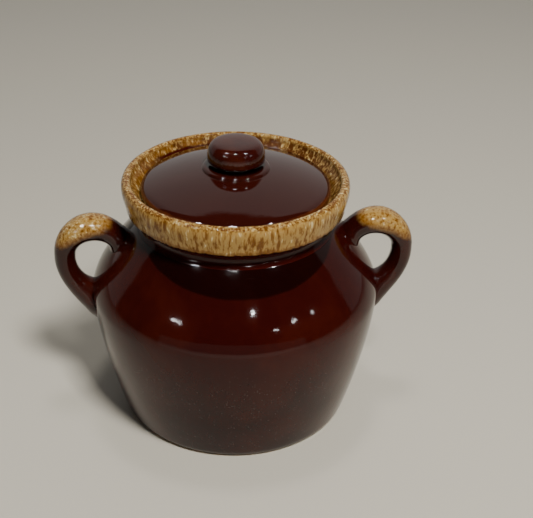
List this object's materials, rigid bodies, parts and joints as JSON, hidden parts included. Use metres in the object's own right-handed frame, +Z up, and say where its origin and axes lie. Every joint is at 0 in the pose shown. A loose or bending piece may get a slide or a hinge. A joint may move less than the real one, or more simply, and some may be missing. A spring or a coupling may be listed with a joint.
{
  "type": "bean pot",
  "caption": "Round stoneware bean pot with a flared collar, two ear handles and a domed, recessed lid with a button knob that lifts off.",
  "frame": {"origin": "centre of the standing ring, on the surface that the pot stands on", "axes": "+Z up along the pot's axis; +X through the right handle; +Y away from the viewer"},
  "size_m": [0.2288, 0.183, 0.1829],
  "materials": {
    "pot_glaze": "high-gloss dark brown glaze, with a bare standing ring",
    "collar_glaze": "high-gloss tan and honey drip glaze, mottled and streaked, over dark brown",
    "handle_glaze": "high-gloss dark brown glaze with a tan and honey drip patch over the crest",
    "lid_glaze": "high-gloss dark brown glaze"
  },
  "bodies": {
    "pot": {"pot_body": "pot_glaze", "pot_collar": "collar_glaze", "handle_left": "handle_glaze", "handle_right": "handle_glaze"},
    "lid": {"lid": "lid_glaze", "lid_knob": "lid_glaze"}
  },
  "joints": [
    {"name": "lid_lift", "type": "slide", "parent": "pot", "child": "lid", "axis": [0, 0, 1], "range_m": [0, 0.06]}
  ]
}
